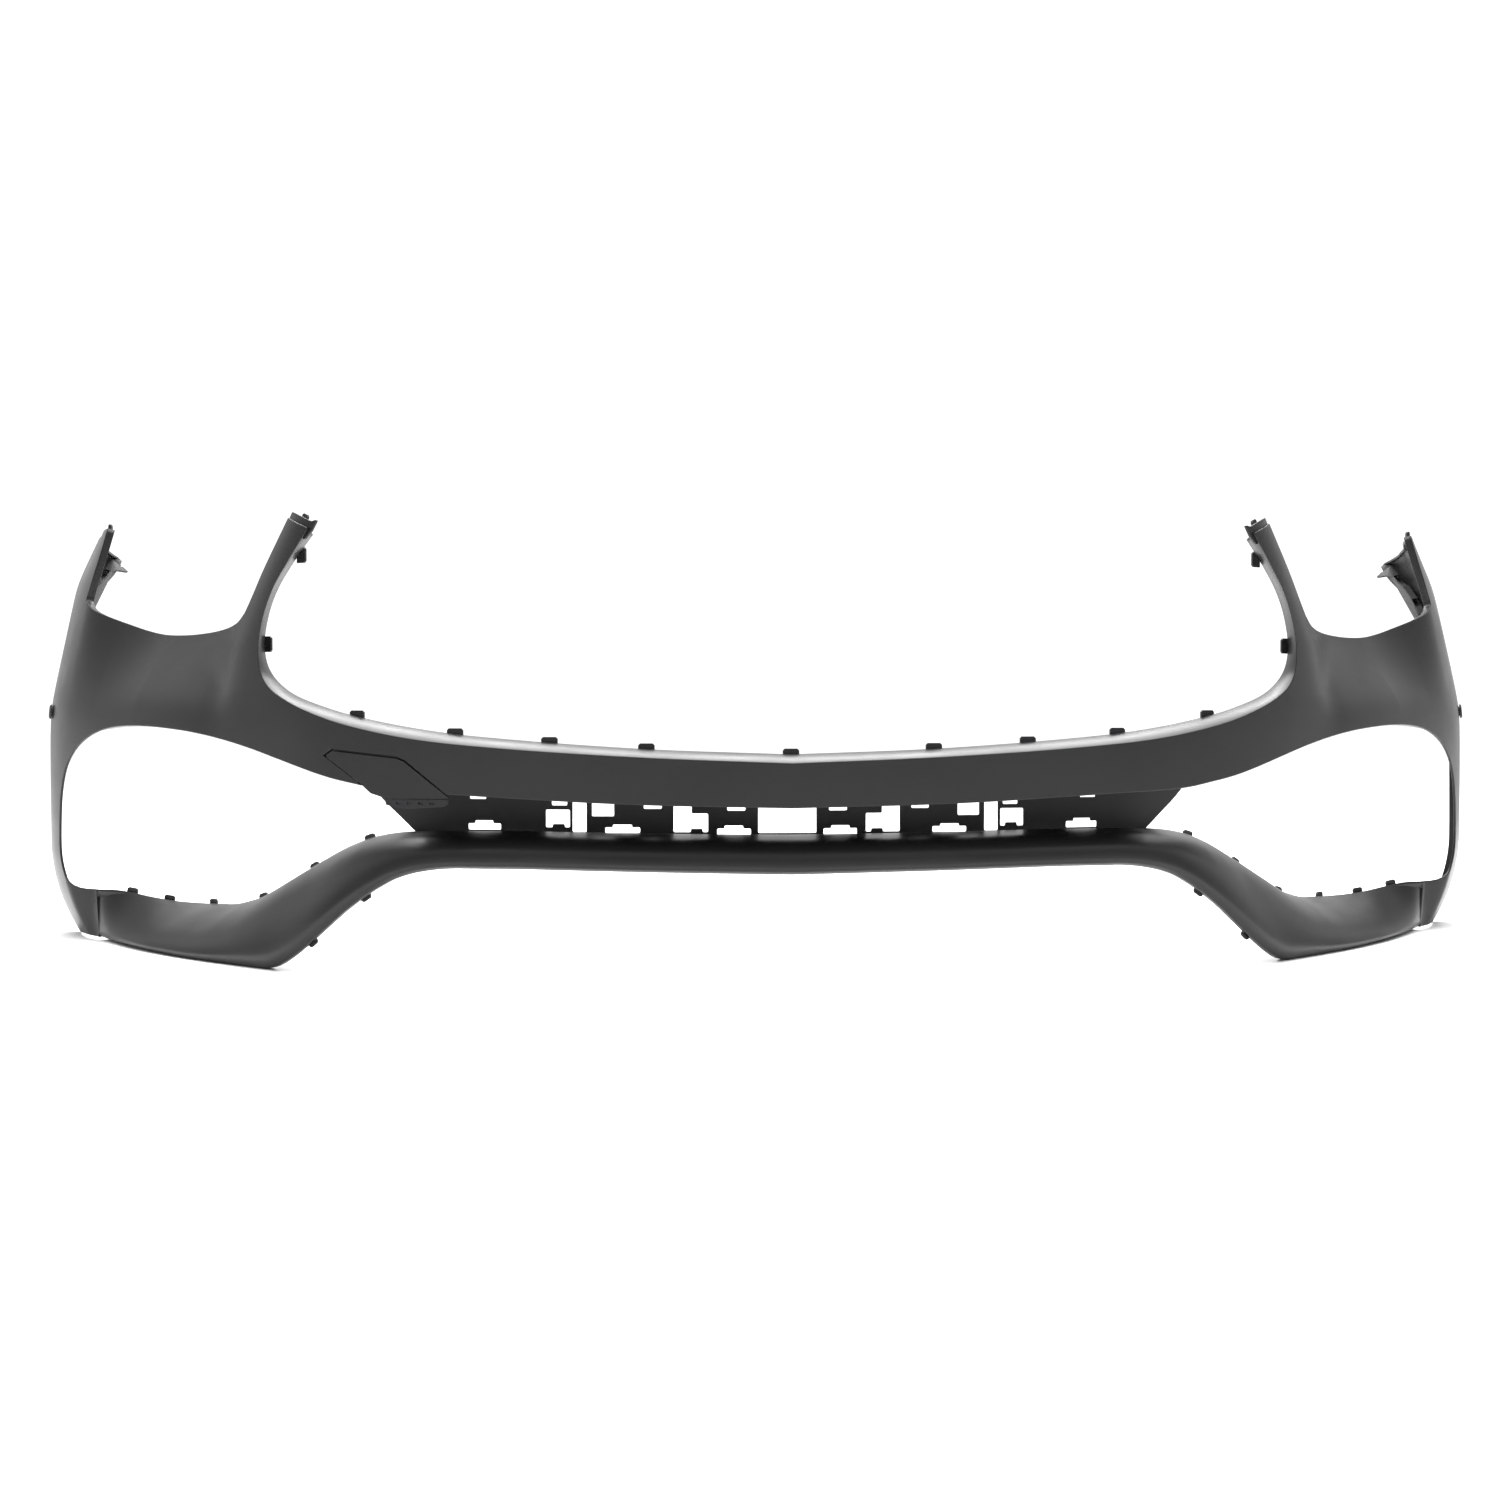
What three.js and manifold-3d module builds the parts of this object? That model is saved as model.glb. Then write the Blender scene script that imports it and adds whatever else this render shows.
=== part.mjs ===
// Front bumper cover. Millimetres, +Y rearwards, +Z up, +X to the right.
// Left and right are as seen by someone standing in front of the car.
// The visible skins lie on one master surface, S(s, z): s is the distance along the
// plan curve from the centre line and z the height. Flat gridded sheets are cut to
// outline in (s, z) and then wrapped onto that surface.
import * as THREE from "three";
import { mergeVertices } from "three/addons/utils/BufferGeometryUtils.js";
import Module from "manifold-3d";

const wasm = await Module();
wasm.setup();

// ---- driving dimensions -------------------------------------------------------
const SKIN = 3; // wall of the moulded skins
const GAP = 0.5; // clearance between neighbouring pieces
const LAMP_TOP = 502; // top of the wing, behind the headlamp
const PLAN = [
  [0, 0], [300, 14], [480, 62], [640, 170], [780, 295],
  [870, 395], [915, 490], [930, 590], [925, 690],
];
const ARCH = { y: 865, z: 130, radius: 400 }; // wheel opening, seen from the side
const RIDGE = [[0, 275], [612, 275], [695, 283], [822, 288], [913, 282], [1310, 276]];
const ARM_FOOT = [[230, 700], [300, 640], [350, 622], [400, 590], [450, 556], [510, 512]];
const ARM_SLOPE = 0.5; // how fast an arm falls back towards the headlamp
const VALLEY_SLOPE = 0.74; // the same for the shelf under the headlamp
const WING_SLOPE = 0.22; // and for the wing, where the shelf has faded out
const WING_REAR = { slope: 0.13, from: 1080, to: 1230 }; // steeper still above the arch
const WING_LEAN = [[980, 0.08], [1060, 0.25], [1200, 0.3], [1290, 0.1]]; // of its top
const LEAN_FROM = 440;
const RIDGE_SOFT = 22; // radius-like width of the crease along the ridge
const VALLEY_FADE = [820, 985];
const VALLEY_TOP = 400; // above this the shelf no longer deepens
const TUCK = { top: 115, depth: 32 }; // lower edge of the wing tucks under
const TOE = { from: 968, to: 1000, depth: 33, rise: -3, z0: 3, z1: 61 };
const LIP_DEPTH = 22;
const RETURN = [[0, 26], [380, 26], [420, 9], [585, 9], [640, 26], [967, 20]]; // under the bar

// Outlines on the surface, right half, as (s, z).
const LOWER_EDGE = [
  [0, 181], [165, 185], [335, 194], [421, 199], [457, 205], [488, 211], [560, 230],
  [601, 240], [649, 249], [700, 256], [750, 260], [800, 262], [850, 261], [890, 256],
  [928, 245], [960, 229], [986, 207], [1002, 178], [1008, 148], [1009, 112], [1005, 89],
  [997, 72], [985, 63], [968, 61.5],
];
const ARCH_FOOT = [[968, 3], [1030, 2], [1068, 0]];
const WING_TOP = [[1292, 489], [1200, 499], [1080, 503], [982, LAMP_TOP]];
const LAMP_REAR = [[982, LAMP_TOP], [981, 470], [984, 440], [990, 414]];
const LAMP_EDGE = [
  [990, 414], [972, 404], [943, 394], [903, 382], [872, 374], [840, 369], [790, 367],
  [740, 368], [700, 370], [665, 373], [640, 378], [624, 387],
];
const ARM_OUTER = [[624, 387], [612, 402], [595, 428], [573, 457], [553, 485]];
const CREASE = [
  [513, 471], [544, 435], [564.5, 410], [579.5, 380], [586, 350], [584, 326], [573, 308],
  [545, 291.5], [492, 272.5], [449, 262], [386, 251], [300, 242.5], [150, 233], [0, 227],
];
const LIP_REAR = [
  [525, 466], [557, 436], [579.5, 412], [593.5, 388], [601, 356], [598, 336], [588, 320],
  [560, 301], [506, 284], [446, 271], [365, 258.5], [300, 252], [150, 241.5], [0, 236],
];
const TIP_TAB = [[551, 492], [512, 478.5], [503, 480], [511, 468], [520, 460], [566, 464]];
const TOW_OPENING = [
  [-494, 234], [-483, 241], [-408, 234], [-398, 229.5], [-351, 193], [-351, 176],
  [-420, 176], [-438, 195], [-452, 207],
];
const PLUG = { s: 1057, z: 277, bore: 7, shaft: 6.2, head: 9 };

// Lower bar: s, depth and height of the bottom edge, depth and height of the top edge,
// and how rounded the crest is (1 for the shelf in the middle, 0 for a plain ramp).
const BAR = [
  [0, 16, 111, 85, 148.3, 1], [155, 17, 114, 85, 149.8, 1], [281, 18, 117, 85, 152.2, 1],
  [366, 19, 117, 85, 152.2, 1], [410, 19, 110, 85, 151.5, 0.9],
  [440, 20, 97, 86, 150.8, 0.75], [475, 20, 76, 87, 147, 0.55],
  [512, 20, 49, 89, 139.5, 0.4], [552, 20, 21, 91, 127.5, 0.3], [573, 20, 9, 92, 119, 0.3],
  [594, 20, 0, 93, 111, 0.3], [640, 20, 0, 95, 91.5, 0.25], [690, 20, 0, 95, 68, 0.2],
  [746, 20, 0, 95, 55, 0.2], [830, 22, 1, 94, 50.5, 0.2], [870, 24.5, 1.5, 83, 51, 0.2],
  [900, 27, 2, 67.5, 55.5, 0.1], [930, 30, 2.5, 51.5, 61.5, 0], [950, 31.5, 2.8, 40, 63.7, 0],
  [966.8, 33, 3, 30, 61.5, 0],
];
const BAR_EASE = [-15, -7.5, 0, 7.5, 15]; // each section is the mean of these neighbours
const BAR_STEPS = 44;

// Windows in the centre carrier, right half, as s, z, s, z.
const CARRIER = { top: 205, bottom: 141, ends: [522, 430], front: 92, outer: 101 };
const WINDOWS = [
  [46, 173, 66, 181], [40, 147, 77, 157], [87, 150, 108, 170], [105, 150, 125, 183],
  [138, 175, 158, 184], [162, 149, 201, 158], [191, 167, 216, 185.5],
  [222, 150, 238, 187], [241, 155, 269, 174], [244, 178.5, 262, 188],
  [341, 185, 362, 193], [323, 152, 364, 162],
];
const CENTRE_WINDOW = [-32, 149, 32, 180];

// Side bracket: how much of the arch edge it follows, and its pockets along that edge.
const BRACKET = {
  reach: 150, length: 136, front: 7.6, plate: 2.4, windows: [[8, 22], [37, 53], [84, 112]],
};

const CLIP_WALL = 2.4;
const LIP_CLIP_STATIONS = [0, 150, 251, 352, 468];
const ARM_CLIP_HEIGHTS = [352, 446];
const BAR_CLIP_STATIONS = [505, 608, 702, 806, 878, 924];
const TRAY_CLIP_STATIONS = [462, 536];

// ---- small helpers ------------------------------------------------------------
const interpolate = (table, x) => {
  let i = 0;
  while (i < table.length - 2 && x > table[i + 1][0]) i += 1;
  const [x0, y0] = table[i];
  const [x1, y1] = table[i + 1];
  const t = THREE.MathUtils.clamp((x - x0) / (x1 - x0), 0, 1);
  return y0 + (y1 - y0) * t;
};
const softRamp = (v, width) => 0.5 * (v + Math.hypot(v, width));
const softMin = (a, b) => (a * b) / (Math.cbrt(a ** 3 + b ** 3) + 1e-6);
const mirrored = (points) => points.map(([s, z]) => [-s, z]);

function smooth(points, count) {
  const nodes = points.map(([s, z]) => new THREE.Vector3(s, z, 0));
  const curve = new THREE.CatmullRomCurve3(nodes, false, "centripetal");
  return curve.getSpacedPoints(count).map((p) => [p.x, p.y]);
}

// ---- master surface -----------------------------------------------------------
const planCurve = (() => {
  const right = PLAN.map(([x, y]) => new THREE.Vector3(x, y, 0));
  const left = PLAN.slice(1).reverse().map(([x, y]) => new THREE.Vector3(-x, y, 0));
  const curve = new THREE.CatmullRomCurve3([...left, ...right], false, "catmullrom", 0.5);
  curve.arcLengthDivisions = 1200;
  return curve;
})();
const HALF_LENGTH = planCurve.getLength() / 2;

function plan(s) {
  const u = THREE.MathUtils.clamp(0.5 + s / (2 * HALF_LENGTH), 0, 1);
  const point = planCurve.getPointAt(u);
  const tangent = planCurve.getTangentAt(u);
  return { point, tangent, inward: new THREE.Vector3(-tangent.y, tangent.x, 0) };
}

// A point at station s and height z, set back by depth from the plan curve.
function station(s, z, depth) {
  const { point, inward } = plan(s);
  return point.addScaledVector(inward, depth).setZ(z);
}

function setBack(s, z) {
  const a = Math.abs(s);
  const arm = ARM_SLOPE * softRamp(a - interpolate(ARM_FOOT, z), 30);
  const onWing = THREE.MathUtils.smoothstep(a, VALLEY_FADE[0], VALLEY_FADE[1]);
  const front = THREE.MathUtils.lerp(VALLEY_SLOPE, WING_SLOPE, onWing);
  const onRear = THREE.MathUtils.smoothstep(a, WING_REAR.from, WING_REAR.to);
  const slope = THREE.MathUtils.lerp(front, WING_REAR.slope, onRear);
  const over = Math.max(z - VALLEY_TOP, 0) * THREE.MathUtils.lerp(0.1, 1, onWing);
  const level = Math.min(z, VALLEY_TOP) + over;
  const lean = onWing * interpolate(WING_LEAN, a) * softRamp(z - LEAN_FROM, 16);
  const shelf = slope * softRamp(level - interpolate(RIDGE, a), RIDGE_SOFT) + lean;
  const low = Math.max(0, 1 - z / TUCK.top);
  const tuck = TUCK.depth * low * low;
  const rise = THREE.MathUtils.clamp((z - TOE.z0) / (TOE.z1 - TOE.z0), 0, 1);
  const blend = 1 - THREE.MathUtils.smoothstep(a, TOE.from, TOE.to);
  const toe = z < TUCK.top && a > 900 ? blend : 0;
  const fade = 1 - THREE.MathUtils.smoothstep(z, 60, 150);
  const base = tuck + (TOE.depth + TOE.rise * rise - tuck) * toe * fade;
  return softMin(arm, shelf) + base;
}

const surface = (s, z) => station(s, z, setBack(s, z));

function normal(s, z) {
  const e = 2;
  const along = surface(s + e, z).sub(surface(s - e, z));
  const up = surface(s, z + e).sub(surface(s, z - e));
  return up.cross(along).normalize();
}

// ---- solids -------------------------------------------------------------------
function solid(geometry) {
  const g = geometry.clone();
  g.deleteAttribute("normal");
  g.deleteAttribute("uv");
  const merged = mergeVertices(g, 1e-4);
  return new wasm.Manifold(
    new wasm.Mesh({
      numProp: 3,
      vertProperties: merged.attributes.position.array,
      triVerts: new Uint32Array(merged.index.array),
    }),
  );
}

function geometryOf(manifold, map = null) {
  const mesh = manifold.getMesh();
  const positions = [];
  for (let i = 0; i < mesh.numVert; i += 1) {
    const [x, y, z] = mesh.vertProperties.slice(i * mesh.numProp, i * mesh.numProp + 3);
    const p = map ? map(x, y, z) : new THREE.Vector3(x, y, z);
    positions.push(p.x, p.y, p.z);
  }
  const index = Array.from(mesh.triVerts);
  if (map) index.reverse();
  const g = new THREE.BufferGeometry();
  g.setAttribute("position", new THREE.Float32BufferAttribute(positions, 3));
  g.setIndex(index);
  return g;
}

// A gridded sheet, s to the right, z up, w from the outer face inwards.
function sheet(s0, s1, z0, z1, w0, w1, ds, dz) {
  const nx = Math.ceil((s1 - s0) / ds);
  const nz = Math.ceil((z1 - z0) / dz);
  const g = new THREE.BoxGeometry(s1 - s0, z1 - z0, w1 - w0, nx, nz, 1);
  g.translate((s0 + s1) / 2, (z0 + z1) / 2, (w0 + w1) / 2);
  return solid(g);
}

function prism(outline, w0, w1) {
  const shape = new THREE.Shape(outline.map(([s, z]) => new THREE.Vector2(s, z)));
  const options = { depth: w1 - w0, steps: 1, bevelEnabled: false };
  const g = new THREE.ExtrudeGeometry(shape, options);
  g.translate(0, 0, w0);
  return solid(g);
}

const box = ([s0, z0, s1, z1], w0, w1) =>
  prism([[s0, z0], [s1, z0], [s1, z1], [s0, z1]], w0, w1);

function disc(s, z, radius, w0, w1) {
  const g = new THREE.CylinderGeometry(radius, radius, w1 - w0, 20);
  g.rotateX(Math.PI / 2);
  g.translate(s, z, (w0 + w1) / 2);
  return solid(g);
}

const wrap = (manifold) =>
  solid(geometryOf(manifold, (s, z, w) => surface(s, z).addScaledVector(normal(s, z), w)));

// Sections of equal point count, joined into one closed body with flat ends.
function loft(sections) {
  const n = sections[0].length;
  const index = [];
  for (let i = 0; i < sections.length - 1; i += 1) {
    for (let j = 0; j < n; j += 1) {
      const a = i * n + j;
      const b = i * n + ((j + 1) % n);
      index.push(a, b, b + n, a, b + n, a + n);
    }
  }
  const half = n / 2;
  const last = (sections.length - 1) * n;
  for (let j = 0; j < half - 1; j += 1) {
    const k = n - 1 - j;
    index.push(j, k, k - 1, j, k - 1, j + 1);
    index.push(last + j, last + k - 1, last + k, last + j, last + j + 1, last + k - 1);
  }
  const g = new THREE.BufferGeometry();
  const flat = sections.flat().flatMap((p) => [p.x, p.y, p.z]);
  g.setAttribute("position", new THREE.Float32BufferAttribute(flat, 3));
  g.setIndex(index);
  return outward(g);
}

// The solid of a closed surface, whichever way round its faces were listed.
function outward(g) {
  const bare = g.clone();
  bare.deleteAttribute("normal");
  bare.deleteAttribute("uv");
  const merged = mergeVertices(bare, 1e-4);
  const body = solid(merged);
  if (body.volume() > 0) return body;
  merged.setIndex(Array.from(merged.index.array).reverse());
  return solid(merged);
}

// Position, unit step into the material and inward normal at one point of an edge.
function edgeFrame(edge, i, side) {
  const [s, z] = edge[i];
  const [s0, z0] = edge[Math.max(i - 1, 0)];
  const [s1, z1] = edge[Math.min(i + 1, edge.length - 1)];
  const length = Math.hypot(s1 - s0, z1 - z0);
  const us = (side * -(z1 - z0)) / length;
  const uz = (side * (s1 - s0)) / length;
  return { s, z, us, uz, n: normal(s, z) };
}

// A return flange: runs along an edge and points inwards from the skin.
function flange(edge, side, depth) {
  const sections = edge.map((_, i) => {
    const { s, z, us, uz, n } = edgeFrame(edge, i, side);
    const near = surface(s + us * 0.2, z + uz * 0.2);
    const far = surface(s + us * SKIN, z + uz * SKIN);
    const d = typeof depth === "function" ? depth(i / (edge.length - 1)) : depth;
    return [
      near.clone().addScaledVector(n, 0.4), near.clone().addScaledVector(n, d),
      far.clone().addScaledVector(n, d), far.clone().addScaledVector(n, 0.4),
    ];
  });
  return loft(sections);
}

// ---- upper cover --------------------------------------------------------------
function archEdge() {
  const points = [];
  for (let z = 20; z <= 470; z += 30) {
    const y = ARCH.y - Math.sqrt(ARCH.radius ** 2 - (z - ARCH.z) ** 2);
    points.push([stationAtDepth(y, z), z]);
  }
  return [[1068, 0], ...points, [1292, 489]];
}

// The station on the right wing whose surface point lies y rearwards.
function stationAtDepth(y, z) {
  let low = 900;
  let high = 1308;
  for (let i = 0; i < 30; i += 1) {
    const middle = (low + high) / 2;
    if (surface(middle, z).y < y) low = middle;
    else high = middle;
  }
  return low;
}

const edges = {
  lower: smooth(LOWER_EDGE, 64),
  foot: smooth(ARCH_FOOT, 5),
  arch: smooth(archEdge(), 26),
  wingTop: smooth(WING_TOP, 10),
  lampRear: smooth(LAMP_REAR, 5),
  lamp: smooth(LAMP_EDGE, 20),
  armOuter: smooth(ARM_OUTER, 8),
  crease: smooth(CREASE, 40),
  lipRear: smooth(LIP_REAR, 40),
};

function coverOutline() {
  const right = [
    ...edges.lower, ...edges.foot, ...edges.arch.slice(1), ...edges.wingTop.slice(1),
    ...edges.lampRear.slice(1), ...edges.lamp.slice(1), ...edges.armOuter.slice(1),
    ...edges.crease,
  ];
  const half = right.filter(([s]) => s > 1e-6);
  return [[0, LOWER_EDGE[0][1]], ...half, [0, 227], ...mirrored(half).reverse()];
}

function lip() {
  const half = (side) => edges.crease.map((_, i) => lipSection(i, side));
  return loft([...half(-1).slice(0, -1), ...half(1).reverse()]);
}

// The lip behind the crease, its wall on the side of the skin.
function lipSection(i, side) {
  const crease = side > 0 ? edges.crease : mirrored(edges.crease);
  const [rs, rz] = edges.lipRear[i];
  const { s, z, us, uz, n } = edgeFrame(crease, i, side);
  const front = surface(s + us * 0.3, z + uz * 0.3).addScaledVector(n, 0.4);
  const rear = lipRearPoint(side * rs, rz);
  const across = rear.clone().sub(front).normalize();
  const wall = surface(s + us, z + uz).sub(surface(s, z));
  wall.addScaledVector(across, -wall.dot(across)).setLength(SKIN * 0.9);
  return [front, rear, rear.clone().add(wall), front.clone().add(wall)];
}

const lipRearPoint = (s, z) => station(s, z, setBack(s, z) * 0.6 + LIP_DEPTH);

function tipTab(side) {
  const outline = TIP_TAB.map(([s, z]) => [side * s, z]);
  const s0 = side > 0 ? 500 : -630;
  return wrap(sheet(s0, s0 + 130, 455, 515, 2.4, 5.4, 22, 12).intersect(prism(outline, 0, 9)));
}

// The flange round the wheel opening is deeper behind the side bracket.
const archFlange = (t) => 12 + 4 * THREE.MathUtils.smoothstep(t, 0.55, 0.65);

function topPin(side) {
  const g = new THREE.BoxGeometry(4, 7, 11);
  const p = surface(side * 988, LAMP_TOP).addScaledVector(normal(side * 988, LAMP_TOP), 4.5);
  g.translate(p.x, p.y, p.z + 1);
  return solid(g);
}

function upperCover() {
  const outline = coverOutline();
  let flat = sheet(-1308, 1308, -4, 511, 0, SKIN, 27, 17).intersect(prism(outline, -9, 9));
  flat = flat.subtract(prism(TOW_OPENING, -9, 9));
  [-1, 1].forEach((side) => {
    flat = flat.subtract(disc(side * PLUG.s, PLUG.z, PLUG.bore, -9, 9));
  });
  let body = wrap(flat);
  body = body.add(lip());
  [-1, 1].forEach((side) => {
    const turned = (edge) => (side > 0 ? edge : mirrored(edge));
    body = body.add(flange(turned(edges.lower.slice(25, 48)), side, 12));
    body = body.add(flange(turned(edges.arch), side, archFlange));
    body = body.add(flange(turned([...edges.lamp, ...edges.armOuter.slice(1)]), side, 9));
    body = body.add(flange(turned(edges.lampRear), side, 9));
    body = body.add(flange(turned(edges.wingTop), side, 9));
    body = body.add(tipTab(side)).add(topPin(side));
  });
  return body.simplify(0.02);
}

// ---- lower bar ----------------------------------------------------------------
function barColumn(k, s) {
  const rows = BAR.map((row) => [row[0], row[k]]);
  const values = BAR_EASE.map((step) => interpolate(rows, Math.abs(s) + step));
  return values.reduce((sum, v) => sum + v, 0) / values.length;
}

function barSection(s) {
  const a = Math.abs(s);
  const [hb, zb, ht, zt, crest] = [1, 2, 3, 4, 5].map((k) => barColumn(k, a));
  const shelf = [[-0.05, 0.12], [-0.06, 0.3], [-0.03, 0.52], [0.08, 0.74], [0.26, 0.9], [0.55, 0.97]];
  const ramp = [[-0.02, 0.09], [0.01, 0.18], [0.16, 0.36], [0.38, 0.56], [0.62, 0.75], [0.84, 0.9]];
  const outer = [[hb + interpolate(RETURN, a), zb], [hb + 3, zb]];
  shelf.forEach(([fh, fz], i) => {
    const h = fh * crest + ramp[i][0] * (1 - crest);
    const z = fz * crest + ramp[i][1] * (1 - crest);
    outer.push([hb + (ht - hb) * h, zb + (zt - zb) * z]);
  });
  outer.push([ht, zt], [ht + 1.5, zt - 9]);
  return thicken(outer).map(([h, z]) => station(s, z, h));
}

// A polyline in (depth, height) and its copy one wall further in, as one loop.
function thicken(outer) {
  const inner = outer.map(([h, z], i) => {
    const [h0, z0] = outer[Math.max(i - 1, 0)];
    const [h1, z1] = outer[Math.min(i + 1, outer.length - 1)];
    const a = i > 0 ? Math.atan2(z - z0, h - h0) : Math.atan2(z1 - z, h1 - h);
    const b = i < outer.length - 1 ? Math.atan2(z1 - z, h1 - h) : a;
    const turn = Math.atan2(Math.sin(b - a), Math.cos(b - a));
    const middle = a + turn / 2 - Math.PI / 2;
    const reach = SKIN / Math.cos(turn / 2);
    return [h + Math.cos(middle) * reach, z + Math.sin(middle) * reach];
  });
  return [...outer, ...inner.reverse()];
}

function lowerBar() {
  const end = BAR[BAR.length - 1][0];
  const stations = new Set();
  for (let i = 0; i <= BAR_STEPS; i += 1) stations.add(-end + (2 * end * i) / BAR_STEPS);
  BAR.slice(4, 12).forEach(([s]) => stations.add(s).add(-s));
  const ordered = [...stations].sort((p, q) => p - q);
  const spaced = ordered.filter((s, i) => i === 0 || s - ordered[i - 1] > 8);
  if (spaced[spaced.length - 1] !== end) spaced[spaced.length - 1] = end;
  return loft(spaced.map(barSection));
}

// ---- centre carrier -----------------------------------------------------------
const carrierDepth = (s) => interpolate([[0, CARRIER.front], [326, CARRIER.outer]], Math.abs(s));

function centreCarrier() {
  const [top, bottom] = [CARRIER.top, CARRIER.bottom];
  const [wide, narrow] = CARRIER.ends;
  const outline = [[-narrow, bottom], [narrow, bottom], [wide, top], [-wide, top]];
  let flat = sheet(-wide, wide, bottom, top, 0, 2.4, 30, 40).intersect(prism(outline, -9, 9));
  flat = flat.subtract(box(CENTRE_WINDOW, -9, 9));
  WINDOWS.forEach(([s0, z0, s1, z1]) => {
    flat = flat.subtract(box([s0, z0, s1, z1], -9, 9));
    flat = flat.subtract(box([-s1, z0, -s0, z1], -9, 9));
  });
  const face = solid(geometryOf(flat, (s, z, w) => station(s, z, carrierDepth(s) + w)));
  const sections = [];
  for (let s = -425; s <= 426; s += 25) {
    const rear = carrierDepth(s) + 1;
    sections.push([[top - 2.6, 9], [top - 2.6, rear], [top - 0.2, rear], [top - 0.2, 9]]
      .map(([z, h]) => station(s, z, h)));
  }
  return face.add(loft(sections));
}

// ---- side brackets ------------------------------------------------------------
// A ladder strip in front of the arch flange: t along the edge, d inwards, w forwards.
// A rib along its inner side reaches back to the flange and closes the pockets.
function bracketShape() {
  const outline = [
    [0, 6], [BRACKET.length, 6], [BRACKET.length, 15], [131, 19],
    [121, 34], [119, 33], [117, 21], [112, 17], [0, 17],
  ];
  const { plate, front, length } = BRACKET;
  const cell = length / 14;
  let flat = sheet(0, length, 3, 35, front - plate, front, cell, 90);
  flat = flat.intersect(prism(outline, 0, 20));
  BRACKET.windows.forEach(([t0, t1]) => {
    flat = flat.subtract(box([t0, 5, t1, 14.4], -9, 20));
  });
  flat = flat.subtract(disc(128, 22, 1.8, -9, 20));
  return flat.add(sheet(0, 12 * cell, 15, 17, 0.2, front, 1.01 * cell, 90));
}

function sideBracket(side) {
  const edge = mirrored(edges.arch.slice(19));
  const last = edge.length - 1;
  const frames = edge.map((_, i) => edgeFrame(edge, i, -1));
  const left = geometryOf(bracketShape(), (t, d, w) => {
    const k = THREE.MathUtils.clamp(t / BRACKET.reach, 0, 1) * last;
    const i = Math.min(Math.floor(k), last - 1);
    const corner = (j) => {
      const { s, z, us, uz, n } = frames[j];
      const off = SKIN + GAP + w;
      return surface(s + us * off, z + uz * off).addScaledVector(n, d);
    };
    return corner(i).lerp(corner(i + 1), k - i);
  });
  return outward(side < 0 ? left : left.scale(-1, 1, 1));
}

// ---- tow cover ----------------------------------------------------------------
function towCover() {
  const outline = [
    [-492.3, 234], [-482.7, 239.7], [-408.4, 232.7], [-399, 228.6], [-352.2, 192.4],
    [-352.2, 191], [-421, 191], [-437, 195.6], [-450.6, 207],
  ];
  return wrap(sheet(-495, -350, 188, 243, 0, SKIN, 16, 60).intersect(prism(outline, -9, 9)));
}

function towLatch() {
  const outline = [
    [-352.2, 190.2], [-352.2, 186], [-356, 182.5], [-398, 180], [-420, 184], [-420.5, 190.2],
  ];
  let flat = sheet(-424, -350, 178, 192, 0.5, 3.4, 16, 60).intersect(prism(outline, -9, 9));
  [-372, -384, -396, -408].forEach((s) => {
    flat = flat.subtract(box([s, 184.5, s + 5, 187], -9, 9));
  });
  return wrap(flat);
}

// ---- clips and plugs ----------------------------------------------------------
// Origin, along, inward and out give the clip's own axes.
function place(geometry, origin, along, inward, out) {
  const basis = new THREE.Matrix4().makeBasis(along, inward, out);
  geometry.applyMatrix4(basis.setPosition(origin));
  return outward(geometry);
}

// A push-on tab behind an edge: width along it, from low to high across it.
function clipShape(width, low, high) {
  const w = width / 2;
  const corners = [[-w, low], [w, low], [w, high - 2], [w - 2, high], [2 - w, high], [-w, high - 2]];
  const shape = new THREE.Shape(corners.map(([x, y]) => new THREE.Vector2(x, y)));
  const options = { depth: CLIP_WALL, steps: 1, bevelEnabled: false };
  const g = new THREE.ExtrudeGeometry(shape, options);
  return g.rotateX(Math.PI / 2).translate(0, CLIP_WALL, 0);
}

function lipClip(s, z) {
  const { tangent, inward } = plan(s);
  const origin = lipRearPoint(s, z).addScaledVector(inward, 1.8);
  return place(clipShape(17, -8, 5.5), origin, tangent, inward, new THREE.Vector3(0, 0, 1));
}

function armClip(side, z) {
  const rear = edges.lipRear.slice(0, 16);
  const s = side * interpolate(rear.map(([a, b]) => [b, a]).reverse(), z);
  const origin = lipRearPoint(s, z);
  const { tangent, inward } = plan(s);
  origin.addScaledVector(inward, 3.2);
  const out = tangent.clone().multiplyScalar(-side);
  const along = inward.clone().cross(out);
  return place(clipShape(17, -7, 5), origin, along, inward, out);
}

// Behind the slanting top edge of the arm-tip tab.
function tipClip(side) {
  const [inner, outer] = [TIP_TAB[1], TIP_TAB[0]].map(([s, z]) => surface(side * s, z));
  const [s, z] = [side * 532, (TIP_TAB[0][1] + TIP_TAB[1][1]) / 2];
  const along = outer.sub(inner).normalize();
  const n = normal(s, z);
  n.addScaledVector(along, -n.dot(along)).normalize();
  const out = n.clone().cross(along);
  if (out.z < 0) out.negate();
  const origin = surface(s, z).addScaledVector(n, 8.6);
  return place(clipShape(11, -6, 4), origin, along, n, out);
}

// A clip on a long edge of the bar, standing off it by the given gap.
function edgeClip(s, at, gap, shape, sign) {
  const along = at(s + 8).sub(at(s - 8)).normalize();
  const inward = new THREE.Vector3(-along.y, along.x, 0).normalize();
  const out = along.clone().cross(inward).multiplyScalar(sign);
  return place(shape, at(s).addScaledVector(inward, gap), along, inward, out);
}

function barClip(s) {
  const at = (k) => station(k, barColumn(4, k), barColumn(3, k));
  return edgeClip(s, at, 2.6, clipShape(14, -9, 4.5), 1);
}

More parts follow.
